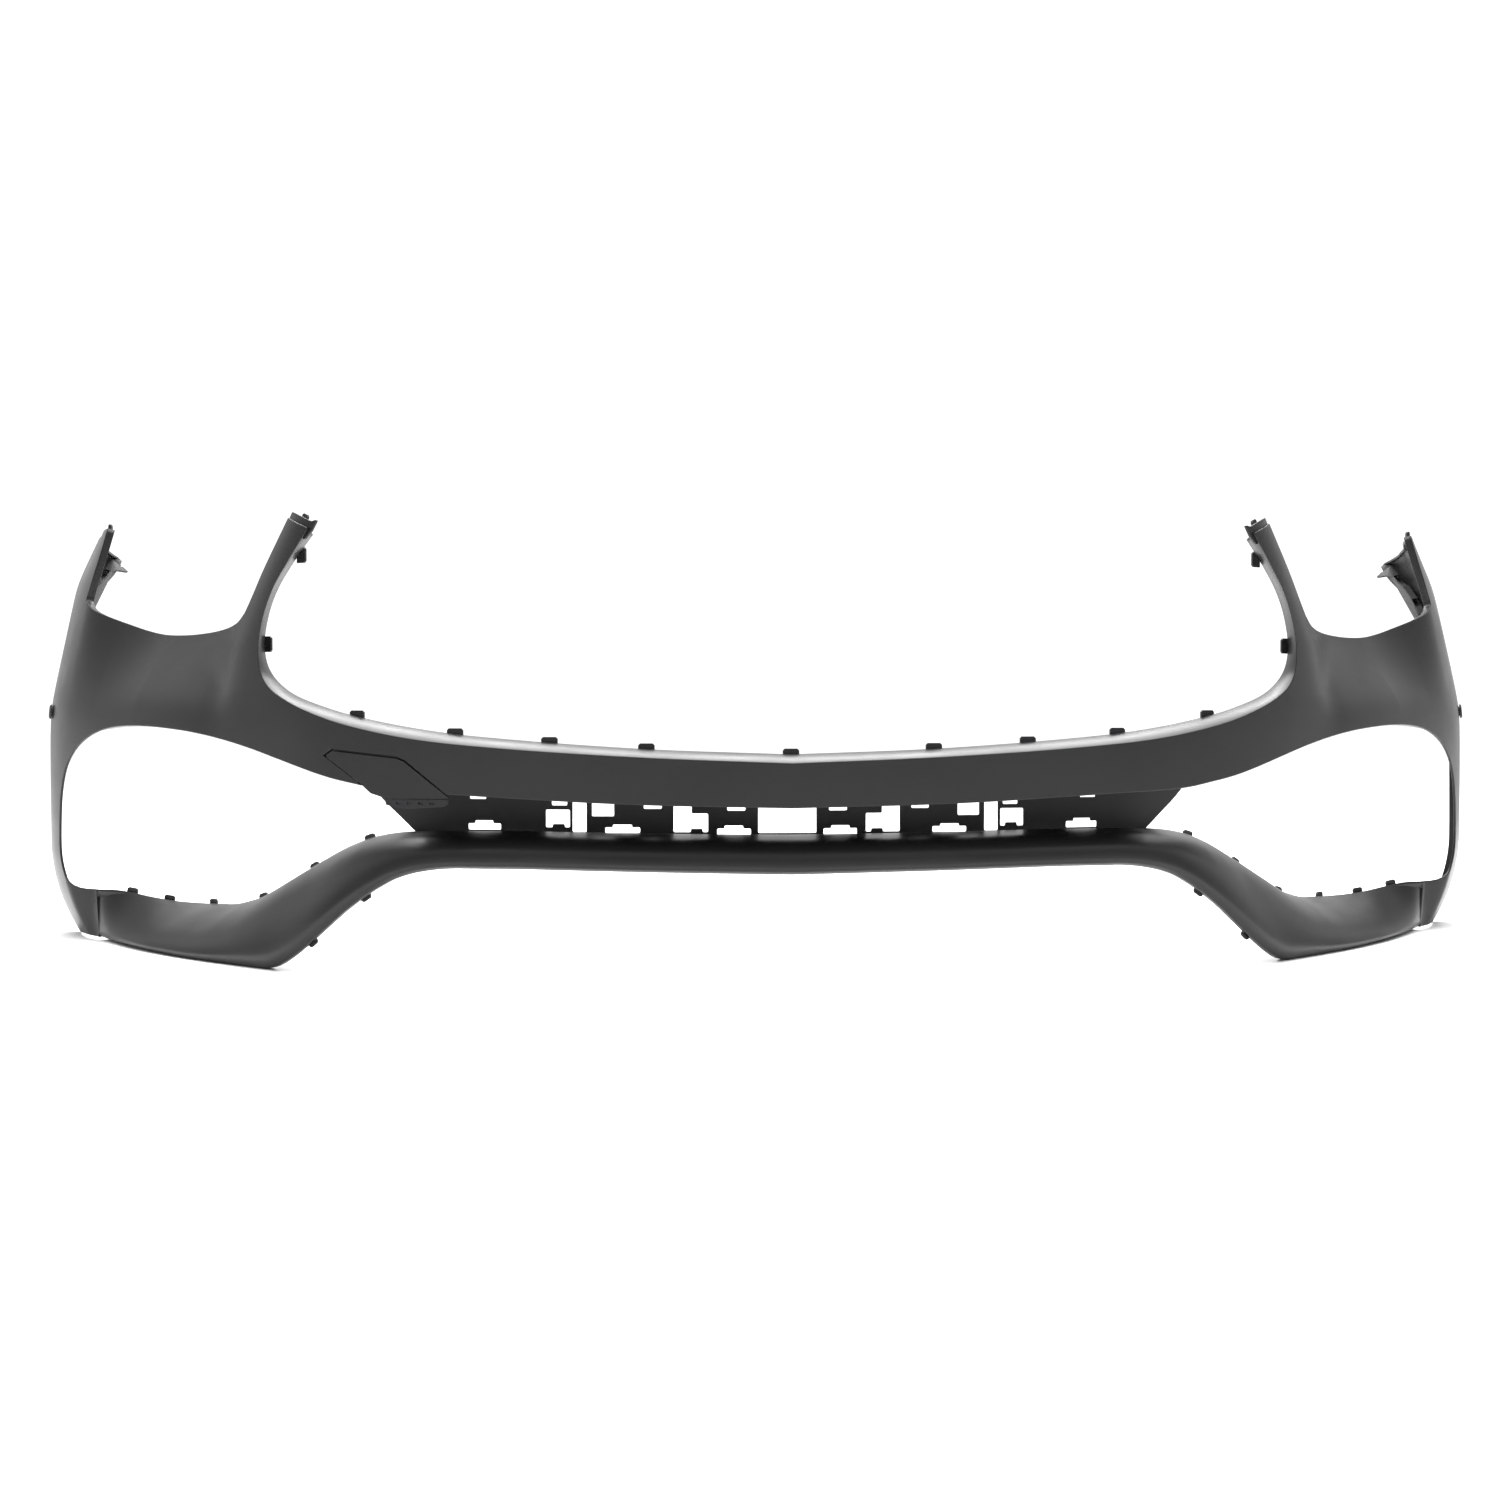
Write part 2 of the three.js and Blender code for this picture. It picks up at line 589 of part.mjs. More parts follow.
function trayClip(s) {
  const depth = (k) => barColumn(1, k) + interpolate(RETURN, Math.abs(k));
  const at = (k) => station(k, barColumn(2, k), depth(k));
  return edgeClip(s, at, 1, clipShape(13, -8, 3), -1);
}

function sidePlug(side) {
  const profile = [
    [0, -3.6], [PLUG.head - 1.2, -3.6], [PLUG.head, -2.4], [PLUG.head, -0.8],
    [PLUG.shaft, -0.8], [PLUG.shaft, 7], [0, 7],
  ];
  const g = new THREE.LatheGeometry(profile.map(([r, h]) => new THREE.Vector2(r, h)), 20);
  const n = normal(side * PLUG.s, PLUG.z);
  const origin = surface(side * PLUG.s, PLUG.z);
  g.applyQuaternion(new THREE.Quaternion().setFromUnitVectors(new THREE.Vector3(0, 1, 0), n));
  g.translate(origin.x, origin.y, origin.z);
  return outward(g);
}

// ---- assembly -----------------------------------------------------------------
const satin = { color: 0x3b3c3e, roughness: 0.55, metalness: 0 };
const black = { color: 0x1b1c1d, roughness: 0.7, metalness: 0 };
const group = new THREE.Group();

function add(name, body, look) {
  const mesh = new THREE.Mesh(geometryOf(body), new THREE.MeshStandardMaterial(look));
  mesh.name = name;
  group.add(mesh);
}

const sides = [["left", -1], ["right", 1]];
const lipHeight = (s) => {
  const low = edges.lipRear.slice(12).reverse();
  return interpolate(low, Math.abs(s));
};

add("upper_cover", upperCover(), satin);
add("lower_bar", lowerBar(), satin);
add("centre_carrier", centreCarrier(), black);
add("tow_cover", towCover(), satin);
add("tow_cover_latch", towLatch(), black);
LIP_CLIP_STATIONS.forEach((s, i) => {
  if (i === 0) add("grille_clip_centre", lipClip(0, lipHeight(0)), black);
  else sides.forEach(([side, k]) => {
    add(`grille_clip_${side}_${i}`, lipClip(k * s, lipHeight(s)), black);
  });
});
sides.forEach(([side, k]) => {
  add(`side_bracket_${side}`, sideBracket(k), black);
  add(`side_plug_${side}`, sidePlug(k), black);
  add(`arm_tip_clip_${side}`, tipClip(k), black);
  ARM_CLIP_HEIGHTS.forEach((z, i) => add(`arm_clip_${side}_${i + 1}`, armClip(k, z), black));
  BAR_CLIP_STATIONS.forEach((s, i) => add(`intake_clip_${side}_${i + 1}`, barClip(k * s), black));
  TRAY_CLIP_STATIONS.forEach((s, i) => add(`tray_clip_${side}_${i + 1}`, trayClip(k * s), black));
});

// The origin sits on the ground, in the middle of the overall box.
const overall = new THREE.Box3().setFromObject(group);
const middle = overall.getCenter(new THREE.Vector3()).setZ(overall.min.z);
group.children.forEach((mesh) => mesh.geometry.translate(-middle.x, -middle.y, -middle.z));

export default group;
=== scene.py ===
# Front bumper cover: the visual model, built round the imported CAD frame.
# Lengths in this script are millimetres until a mesh is made, with y from the nose.
# Left and right are as seen by someone standing in front of the car.
import math

import bmesh
import bpy
import numpy as np
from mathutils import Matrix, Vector
from mathutils.geometry import delaunay_2d_cdt
from mathutils.kdtree import KDTree

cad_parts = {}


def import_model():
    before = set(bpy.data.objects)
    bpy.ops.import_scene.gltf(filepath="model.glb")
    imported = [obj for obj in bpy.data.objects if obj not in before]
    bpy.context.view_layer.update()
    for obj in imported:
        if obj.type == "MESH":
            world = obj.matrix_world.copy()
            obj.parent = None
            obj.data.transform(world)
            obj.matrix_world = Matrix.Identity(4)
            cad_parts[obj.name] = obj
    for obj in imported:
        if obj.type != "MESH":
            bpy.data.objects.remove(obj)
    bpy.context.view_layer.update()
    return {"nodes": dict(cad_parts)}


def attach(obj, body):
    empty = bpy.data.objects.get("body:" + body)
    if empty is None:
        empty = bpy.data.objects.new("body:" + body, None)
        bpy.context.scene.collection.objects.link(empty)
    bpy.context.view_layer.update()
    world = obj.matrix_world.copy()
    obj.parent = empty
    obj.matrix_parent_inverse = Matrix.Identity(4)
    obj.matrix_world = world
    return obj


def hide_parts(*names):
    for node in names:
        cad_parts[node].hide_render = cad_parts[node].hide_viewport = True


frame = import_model()

# ---- dimensions of the part ---------------------------------------------------
SKIN = 3.0  # wall of the painted pieces
NOSE_Y = -334.44  # where the nose of the master surface lies in the row frame
# Plan line of the nose as (sideways, rearwards). A station s is a run along this line.
PLAN = [
    [0, 0], [300, 14], [480, 62], [640, 170], [780, 295],
    [870, 395], [915, 490], [930, 590], [925, 690],
]
ARCH_Y, ARCH_Z, ARCH_RADIUS = 865, 130, 400
WING_SPAN = (900.0, 1308.0)
# Height of the ridge by station, and station of the arm's foot by height.
RIDGE = [[0, 275], [612, 275], [695, 283], [822, 288], [913, 282], [1310, 276]]
ARM_FOOT = [[230, 700], [300, 640], [350, 622], [400, 590], [450, 556], [510, 512]]
ARM_SLOPE, VALLEY_SLOPE, WING_SLOPE = 0.5, 0.74, 0.22
VALLEY_FADE, VALLEY_TOP = (820, 985), 400
ABOVE_VALLEY = 0.1  # share of its slope that the valley keeps above its top
WING_REAR, REAR_SLOPE = (1080, 1230), 0.13
WING_LEAN, LEAN_FROM = [[980, 0.08], [1060, 0.25], [1200, 0.3], [1290, 0.1]], 440
ARM_SOFT, RIDGE_SOFT, LEAN_SOFT = 30, 22, 16  # how gently each slope sets in
TUCK_TOP, TUCK_DEPTH = 115, 32
# The wing's lower end meets the bar at the bar's own depth: stations, depth, heights.
TOE_FROM, TOE_TO, TOE_DEPTH, TOE_RISE, TOE_Z0, TOE_Z1 = 968, 1000, 33, -3, 3, 61
TOE_INNER, TOE_FADE = 900, (60, 150)
LIP_DEPTH = 22
FLANGE = 9  # depth of the cover's turned-in edges
# How far the bar's lower return reaches back, by station.
RETURN = [[0, 26], [380, 26], [420, 9], [585, 9], [640, 26], [967, 20]]

# Outlines of the upper cover as (station, height).
LOWER_EDGE = [
    [0, 181], [165, 185], [335, 194], [421, 199], [457, 205], [488, 211], [560, 230],
    [601, 240], [649, 249], [700, 256], [750, 260], [800, 262], [850, 261], [890, 256],
    [928, 245], [960, 229], [986, 207], [1002, 178], [1008, 148], [1009, 112],
    [1005, 89], [997, 72], [985, 63], [968, 61.5],
]
LOWER_FLANGE_FROM, LOWER_FLANGE_TO = (425, 440), (850, 900)
ARCH_FLANGE, ARCH_FLANGE_HIGH = 12, 16
ARCH_FOOT = [[968, 3], [1030, 2], [1068, 0]]
WING_TOP = [[1292, 489], [1200, 499], [1080, 503], [982, 502]]
LAMP_REAR = [[982, 502], [981, 470], [984, 440], [990, 414]]
LAMP_EDGE = [
    [990, 414], [972, 404], [943, 394], [903, 382], [872, 374], [840, 369],
    [790, 367], [740, 368], [700, 370], [665, 373], [640, 378], [624, 387],
]
ARM_OUTER = [[624, 387], [612, 402], [595, 428], [573, 457], [553, 485]]
CREASE = [
    [513, 471], [544, 435], [564.5, 410], [579.5, 380], [586, 350], [584, 326],
    [573, 308], [545, 291.5], [492, 272.5], [449, 262], [386, 251], [300, 242.5],
    [150, 233], [0, 227],
]
LIP_REAR = [
    [525, 466], [557, 436], [579.5, 412], [593.5, 388], [601, 356], [598, 336],
    [588, 320], [560, 301], [506, 284], [446, 271], [365, 258.5], [300, 252],
    [150, 241.5], [0, 236],
]
TIP_TAB = [[551, 492], [512, 478.5], [503, 480], [511, 468], [520, 460], [566, 464]]
TIP_TAB_BEHIND = 2.4
# The peg on the wing: place, how far it stands in, and (height, half width, half length).
PIN_AT, PIN_IN = (988.0, 502.0), 4.5
PIN_ROWS = ((-4.5, 2, 3.5), (4, 2, 3.5), (5.6, 1.6, 3.1), (6.5, 0.9, 2.2))
TOW_NOTCH = [
    [-353.4, 194.9], [-398, 229.8], [-408, 234.3], [-483, 241.3], [-494, 234], [-452, 207],
    [-448.2, 203.5],
]
TOW_COVER = [
    [-492.3, 233.8], [-482.7, 238.6], [-408.4, 231.6], [-399, 228.2], [-352.2, 192.4],
    [-352.2, 191], [-421, 191], [-437, 195.6], [-450.6, 207],
]
TOW_LATCH = [
    [-352.2, 190.2], [-352.2, 186], [-356, 182.5], [-398, 180], [-420, 184],
    [-420.5, 190.2],
]
LATCH_SLOTS, LATCH_SLOT_Z, LATCH_SLOT_WIDTH = (-372, -384, -396, -408), (184.5, 187), 5
LATCH_BEHIND, LATCH_WALL = 0.5, 2.9
TOW_FLANGE = 7.0
SEAT_HIDDEN, SEAT_REACH, SEAT_DEPTH, SEAT_WALL = 1.0, 6.5, 4.4, 2.2
PLUG_S, PLUG_Z, PLUG_BORE = 1057, 277, 7

# Lower bar: s, depth and height of the bottom edge, depth and height of the top
# edge, and how rounded the crest is.
BAR = [
    [0, 16, 111, 85, 148.3, 1], [155, 17, 114, 85, 149.8, 1],
    [281, 18, 117, 85, 152.2, 1], [366, 19, 117, 85, 152.2, 1],
    [410, 19, 110, 85, 151.5, 0.9], [440, 20, 97, 86, 150.8, 0.75],
    [475, 20, 76, 87, 147, 0.55], [512, 20, 49, 89, 139.5, 0.4],
    [552, 20, 21, 91, 127.5, 0.3], [573, 20, 9, 92, 119, 0.3],
    [594, 20, 0, 93, 111, 0.3], [640, 20, 0, 95, 91.5, 0.25],
    [690, 20, 0, 95, 68, 0.2], [746, 20, 0, 95, 55, 0.2], [830, 22, 1, 94, 50.5, 0.2],
    [870, 24.5, 1.5, 83, 51, 0.2], [900, 27, 2, 67.5, 55.5, 0.1],
    [930, 30, 2.5, 51.5, 61.5, 0], [950, 31.5, 2.8, 40, 63.7, 0],
    [966.8, 33, 3, 30, 61.5, 0],
]
BAR_EASE = (-15, -7.5, 0, 7.5, 15)  # each section is the mean of these neighbours
SHELF = [[-0.05, 0.12], [-0.06, 0.3], [-0.03, 0.52], [0.08, 0.74], [0.26, 0.9], [0.55, 0.97]]
RAMP = [[-0.02, 0.09], [0.01, 0.18], [0.16, 0.36], [0.38, 0.56], [0.62, 0.75], [0.84, 0.9]]
# Steps in depth at the foot of the bar's face, and (depth, height) of its turned-in top.
BAR_TOE, BAR_TOE_STEPS = 3, (3.5, 1.2)
BAR_HEAD = [[0.3, -0.6], [0.6, -2.5], [1.5, -9]]
BAR_SECTIONS = 321

CARRIER_TOP, CARRIER_BOTTOM = 205, 141
CARRIER_WIDE, CARRIER_NARROW = 522, 430
CARRIER_DEPTH, CARRIER_WALL = [[0, 92], [326, 101]], 2.4
CARRIER_FLANGE_HALF, CARRIER_FLANGE_FRONT = 425, 9

# ---- look ---------------------------------------------------------------------
GRID = 7.0  # spacing of the skin's inner vertices
EDGE_STEP = 6.0  # spacing along its edges
FINE_STEP = 5  # spacing along the crease and small outlines
ROUND = 1.1  # radius of its moulded edges
NOTCH_ROUND, JOINT_ROUND = 0.3, 0.08
CUT = 0.6  # how much further in than the wall the rear face starts
SHEEN = 0.26  # specular level of every plastic
CLOUD, GLOSS = (0.35, 0.65), (0.3, 0.7)  # ranges of the slow noises that are used
SPECK, SPECK_SHARE, SPECK_PALE = (0.62, 0.8), 0.35, 2.2
WORN_EDGE, WORN_SHARE, WORN_PALE = (0.53, 0.6), 0.1, 2.6  # by pointiness
RELIEF = 0.0004
CAD_BEVEL, CAD_BEVEL_ANGLE = 0.0004, 35  # metres and degrees

# ---- room, camera and lights, in metres and watts ------------------------------
# The room's strength along each axis: the range of the
# direction's part along it, and the strength at both ends.
WORLD_RAMPS = (("Y", -0.5, 0.9, 0.3, 1.25), ("Z", 0.25, 0.95, 0.0, 0.9))
CAMERA_AT, LOOK_AT = (-0.1036, -2.1052, 0.2915), (0, -0.3089, 0.240)
LENS, SENSOR, SHIFT_X = 41.8, 36, -0.0273
FLOOR_HALF, FLOOR_DROP = 14.0, 0.0005
# Name, place, aim, size and power.
LIGHTS = (
    ("overhead", (0, 0.1, 2.6), (0, 0.1, 0), (3.6, 2.2), 165),
    ("rear_strip", (0, 1.3, 2.3), (0, -0.3, 0.2), (2.6, 0.5), 85),
)


# ---- curves and tables --------------------------------------------------------
def table(rows, x, k=1):
    """Column k of a table at x, where x runs along its first column."""
    rows = np.array(rows, float)
    return np.interp(x, rows[:, 0], rows[:, k])


def smoothstep(x, low, high):
    t = np.clip((x - low) / (high - low), 0, 1)
    return t * t * (3 - 2 * t)


def soft_ramp(v, width):
    """Nothing below zero and v above it, with a soft change over about the width."""
    return 0.5 * (v + np.hypot(v, width))


def soft_min(a, b):
    """Near the smaller of two depths, rounded where they meet."""
    return a * b / (np.cbrt(a**3 + b**3) + 1e-6)


def catmull(points, power, steps=60):
    """A dense Catmull-Rom curve: power 0 for uniform, 0.5 for centripetal knots."""
    p = np.array(points, float)
    p = np.vstack([2 * p[0] - p[1], p, 2 * p[-1] - p[-2]])
    t = np.linspace(0, 1, steps, endpoint=False)[:, None]
    out = []
    for p0, p1, p2, p3 in zip(p, p[1:], p[2:], p[3:]):
        d0, d1, d2 = (
            np.linalg.norm(b - a) ** power for a, b in ((p0, p1), (p1, p2), (p2, p3))
        )
        t1 = ((p1 - p0) / d0 - (p2 - p0) / (d0 + d1) + (p2 - p1) / d1) * d1
        t2 = ((p2 - p1) / d1 - (p3 - p1) / (d1 + d2) + (p3 - p2) / d2) * d1
        square = -3 * p1 + 3 * p2 - 2 * t1 - t2
        out.append(p1 + t1 * t + square * t**2 + (2 * p1 - 2 * p2 + t1 + t2) * t**3)
    return np.vstack([*out, p[-2:-1]])


def lengths(points):
    """The run along the line up to each point."""
    steps = np.linalg.norm(np.diff(points, axis=0), axis=1)
    return np.concatenate([[0], np.cumsum(steps)])


def resample(points, count):
    points = np.array(points, float)
    run = lengths(points)
    at = np.linspace(0, run[-1], count)
    return np.stack([np.interp(at, run, points[:, k]) for k in range(points.shape[1])], 1)


def smooth(points, step=EDGE_STEP, count=None):
    dense = catmull(points, 0.5)
    return resample(dense, count or max(2, round(lengths(dense)[-1] / step)) + 1)


def straight(points, step=EDGE_STEP):
    """The polyline through the points, with each side divided evenly."""
    out = []
    for a, b in zip(points, points[1:]):
        a, b = np.array(a, float), np.array(b, float)
        n = max(1, round(np.linalg.norm(b - a) / step))
        out += [a + (b - a) * k / n for k in range(n)]
    return np.array([*out, points[-1]], float)


def mirrored(points):
    return np.array(points, float) * [-1, 1]


def filleted(points, radius, steps=3):
    """A closed outline with each corner rounded."""
    points = [np.array(p, float) for p in points]
    out = []
    for i, p in enumerate(points):
        a, b = points[i - 1] - p, points[(i + 1) % len(points)] - p
        la, lb = np.linalg.norm(a), np.linalg.norm(b)
        half = math.acos(np.clip(a @ b / la / lb, -1, 1)) / 2
        if half > 1.45:
            out.append(p)
            continue
        cut = min(radius / math.tan(half), la * 0.45, lb * 0.45)
        start, end = p + a / la * cut, p + b / lb * cut
        for k in range(steps + 1):
            t = k / steps
            out.append(start * (1 - t) ** 2 + 2 * p * t * (1 - t) + end * t**2)
    return np.array(out)


# ---- master surface -----------------------------------------------------------
PLAN_LINE = catmull([*mirrored(PLAN[1:])[::-1], *PLAN], 0, 200)
PLAN_RUN = lengths(PLAN_LINE) - lengths(PLAN_LINE)[-1] / 2
PLAN_STEP = np.gradient(PLAN_LINE, PLAN_RUN, axis=0)


def plan(s):
    """Point, and the unit step towards the middle of the car, at station s."""
    x, y = (np.interp(s, PLAN_RUN, PLAN_LINE[:, k]) for k in (0, 1))
    tx, ty = (np.interp(s, PLAN_RUN, PLAN_STEP[:, k]) for k in (0, 1))
    size = np.hypot(tx, ty)
    return x, y, -ty / size, tx / size


def station(s, z, depth):
    """The point at height z, set back by a depth from the plan line."""
    x, y, nx, ny = plan(s)
    return np.stack([x + nx * depth, y + ny * depth, z + 0 * x], -1)


def set_back(s, z):
    """How far the skin stands back from the plan line."""
    a = np.abs(s)
    arm = ARM_SLOPE * soft_ramp(a - table(ARM_FOOT, z), ARM_SOFT)
    wing = smoothstep(a, *VALLEY_FADE)
    slope = VALLEY_SLOPE + (WING_SLOPE - VALLEY_SLOPE) * wing
    slope = slope + (REAR_SLOPE - slope) * smoothstep(a, *WING_REAR)
    lean = wing * table(WING_LEAN, a) * soft_ramp(z - LEAN_FROM, LEAN_SOFT)
    over = np.maximum(z - VALLEY_TOP, 0) * (ABOVE_VALLEY + (1 - ABOVE_VALLEY) * wing)
    level = np.minimum(z, VALLEY_TOP) + over
    shelf = slope * soft_ramp(level - table(RIDGE, a), RIDGE_SOFT) + lean
    tuck = TUCK_DEPTH * np.maximum(0, 1 - z / TUCK_TOP) ** 2
    rise = np.clip((z - TOE_Z0) / (TOE_Z1 - TOE_Z0), 0, 1)
    low_end = (z < TUCK_TOP) & (a > TOE_INNER)
    toe = np.where(low_end, 1 - smoothstep(a, TOE_FROM, TOE_TO), 0)
    fade = 1 - smoothstep(z, *TOE_FADE)
    base = tuck + (TOE_DEPTH + TOE_RISE * rise - tuck) * toe * fade
    return soft_min(arm, shelf) + base


def surface(s, z):
    return station(s, z, set_back(s, z))


def unit(v):
    return v / np.maximum(np.linalg.norm(v, axis=-1, keepdims=True), 1e-9)


def normal_of(base, s, z, e=2.0):
    """Inward normal of a surface base(s, z)."""
    along = base(s + e, z) - base(s - e, z)
    up = base(s, z + e) - base(s, z - e)
    return unit(np.cross(up, along))


def skin_point(s, z, w):
    """The point w below the skin's surface."""
    return surface(s, z) + normal_of(surface, s, z) * np.reshape(w, (-1, 1))


def carrier_base(s, z):
    return station(s, z, table(CARRIER_DEPTH, np.abs(s)))


def carrier_point(s, z, w):
    return station(s, z, table(CARRIER_DEPTH, np.abs(s)) + w)


# ---- mesh making --------------------------------------------------------------
def to_row(points):
    """From millimetres at the nose to the frame's metres."""
    return (np.asarray(points, float) + [0, NOSE_Y, 0]) * 0.001


def make(name, points, faces, material, normals=None, body="cover", slot="primer"):
    """A smooth-shaded mesh that rides on a body; normals are given as (start, array)."""
    mesh = bpy.data.meshes.new(name)
    mesh.from_pydata(to_row(points).tolist(), [], [list(map(int, f)) for f in faces])
    bm = bmesh.new()
    bm.from_mesh(mesh)
    bmesh.ops.recalc_face_normals(bm, faces=bm.faces)
    bm.to_mesh(mesh)
    bm.free()
    mesh.shade_smooth()
    if normals is not None:
        mesh.update()
        every = np.array([v.vector for v in mesh.vertex_normals])
        for start, given in normals:
            every[start:start + len(given)] = given
        mesh.normals_split_custom_set_from_vertices(every.tolist())
    obj = bpy.data.objects.new(name, mesh)
    bpy.context.scene.collection.objects.link(obj)
    obj.data.materials.append(material)
    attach(obj, body)
    return obj


def inside(points, loops):
    """Which points lie inside an odd number of the loops."""
    hit = np.zeros(len(points), bool)
    x, y = points[:, 0], points[:, 1]
    for loop in loops:
        for (x0, y0), (x1, y1) in zip(loop, np.roll(loop, -1, 0)):
            if y0 != y1:
                crossing = ((y0 > y) != (y1 > y)) & (x < (x1 - x0) * (y - y0) / (y1 - y0) + x0)
                hit ^= crossing
    return hit


def triangulate(loops, step):
    """Points and triangles that fill the loops. The loops' own points come first."""
    rim = np.vstack(loops)
    (s0, z0), (s1, z1) = rim.min(0), rim.max(0)
    grid = np.stack(np.meshgrid(np.arange(s0 + step / 2, s1, step),
                                np.arange(z0 + step / 2, z1, step)), -1).reshape(-1, 2)
    grid = grid[inside(grid, loops)]
    tree = KDTree(len(rim))
    for i, (s, z) in enumerate(rim):
        tree.insert((s, z, 0), i)
    tree.balance()
    far = [tree.find((s, z, 0))[2] > step * 0.55 for s, z in grid]
    points = np.vstack([rim, grid[np.array(far, bool)]]) if len(grid) else rim
    edges, start = [], 0
    for loop in loops:
        n = len(loop)
        edges += [(start + i, start + (i + 1) % n) for i in range(n)]
        start += n
    out = delaunay_2d_cdt([Vector(p) for p in points], edges, [], 0, 1e-5, True)
    flat = np.array([tuple(v) for v in out[0]])
    origin = {k: new for new, ids in enumerate(out[3]) for k in ids}
    order = [origin[i] for i in range(len(rim))]
    rest = sorted(set(range(len(flat))) - set(order))
    place = {old: new for new, old in enumerate([*order, *rest])}
    faces = np.array([f for f in out[2] if len(f) == 3])
    keep = inside(flat[faces].mean(1), loops)
    triangles = [[place[v] for v in f] for f in faces[keep].tolist()]
    return flat[[*order, *rest]], triangles


def into_material(loop, hole):
    """The step from each point of a closed loop into the material, mitred at corners."""
    loop = np.array(loop, float)
    ahead = unit(np.roll(loop, -1, 0) - loop)
    behind = np.roll(ahead, 1, 0)
    area = (loop[:, 0] * np.roll(loop[:, 1], -1) - np.roll(loop[:, 0], -1) * loop[:, 1]).sum()
    turn = (1 if area > 0 else -1) * (-1 if hole else 1)
    left = [np.stack([-v[:, 1], v[:, 0]], 1) * turn for v in (behind, ahead)]
    return (left[0] + left[1]) / np.maximum(1 + (left[0] * left[1]).sum(1), 0.5)[:, None]


def edge_rows(depth, t, r):
    """(distance into the material, depth) of an edge's points, from front to rear: a
    plain edge where the depth is the wall t, and a flange where it is twice the wall."""
    f = np.clip((depth - t) / t, 0, 1)
    plain = [(0.3 * r, 0.3 * r), (0, r), (0, t / 2), (0, t - 0.5 * r),
             (0.15 * r, t - 0.15 * r), (0.5 * r, t), (0.5 * t, t), (0.6 * t, t),
             (0.75 * t, t), (0.9 * t, t)]
    turned = [(0.3 * r, 0.3 * r), (0, r), (0, depth / 2), (0, depth - 0.6),
              (0.18, depth - 0.18), (0.6, depth), (t - 0.6, depth),
              (t - 0.18, depth - 0.18), (t, depth - 0.6), (t, t + 0.8)]
    return [(a0 * (1 - f) + a1 * f, w0 * (1 - f) + w1 * f)
            for (a0, w0), (a1, w1) in zip(plain, turned)]


def edge_points(loop, u, rim, rows, point):
    """The points of each row round a loop. Along a lip they follow the lip's own
    directions instead of the surface's normal."""
    corner = point(loop[:, 0], loop[:, 1], np.zeros(len(loop)))
    out = []
    for a, w in rows:
        at = loop + u * a[:, None]
        place = point(at[:, 0], at[:, 1], w)
        if "along" in rim:
            turned = corner + rim["across"] * a[:, None] + rim["along"] * w[:, None]
            place = np.where(rim["is_lip"][:, None], turned, place)
        out.append(place)
    return out


def edge_faces(n, rows, front, rear, own):
    """Quads round a loop of n points: from the front face over its own rows to the rear
    face. The last three are the numbers of the first points."""
    starts = [front, *(own + j * n for j in range(rows)), rear]
    return [[a + i, a + (i + 1) % n, b + (i + 1) % n, b + i]
            for a, b in zip(starts, starts[1:]) for i in range(n)]


def shell(name, loops, point, base, wall, material, step, rims=None, radius=ROUND,
          body="cover", slot="primer", inset=None):
    """A sheet of even wall with rounded edges. rims says, for each loop, how deep its
    edge turns inwards, its radius, and where a lip leads instead of the normal."""
    loops = [np.array(loop, float) for loop in loops]
    rims = rims or [{"depth": np.full(len(loop), wall)} for loop in loops]
    steps = [into_material(loop, i > 0) for i, loop in enumerate(loops)]
    radii = [rim.get("radius", np.full(len(p), radius)) for rim, p in zip(rims, loops)]
    back = inset or wall + CUT
    rounded = [p + u * r[:, None] for p, u, r in zip(loops, steps, radii)]
    front, front_faces = triangulate(rounded, step)
    rear, rear_faces = triangulate([p + u * back for p, u in zip(loops, steps)], step)
    n_front = len(front)
    points = [point(front[:, 0], front[:, 1], np.zeros(n_front)),
              point(rear[:, 0], rear[:, 1], np.full(len(rear), wall))]
    faces = front_faces + [[n_front + v for v in f[::-1]] for f in rear_faces]
    count, start = n_front + len(rear), 0
    for loop, u, rim, r in zip(loops, steps, rims, radii):
        n, rows = len(loop), edge_rows(rim["depth"], wall, r)
        points += edge_points(loop, u, rim, rows, point)
        faces += edge_faces(n, len(rows), start, n_front + start, count)
        count += len(rows) * n
        start += n
    out = -normal_of(base, front[:, 0], front[:, 1])
    inner = normal_of(base, rear[:, 0], rear[:, 1])
    return make(name, np.vstack(points), faces, material, [(0, out), (n_front, inner)],
                body, slot)


def loft(name, sections, material, **how):
    """Closed sections of equal point count, in order, with flat ends."""
    n = len(sections[0])
    faces = []
    for i in range(len(sections) - 1):
        for j in range(n):
            a, b = i * n + j, i * n + (j + 1) % n
            faces.append([a, b, b + n, a + n])
    last = (len(sections) - 1) * n
    for j in range(n // 2 - 1):
        k = n - 1 - j
        faces.append([j, k, k - 1, j + 1])
        faces.append([last + j, last + j + 1, last + k - 1, last + k])
    return make(name, np.vstack(sections), faces, material, **how)


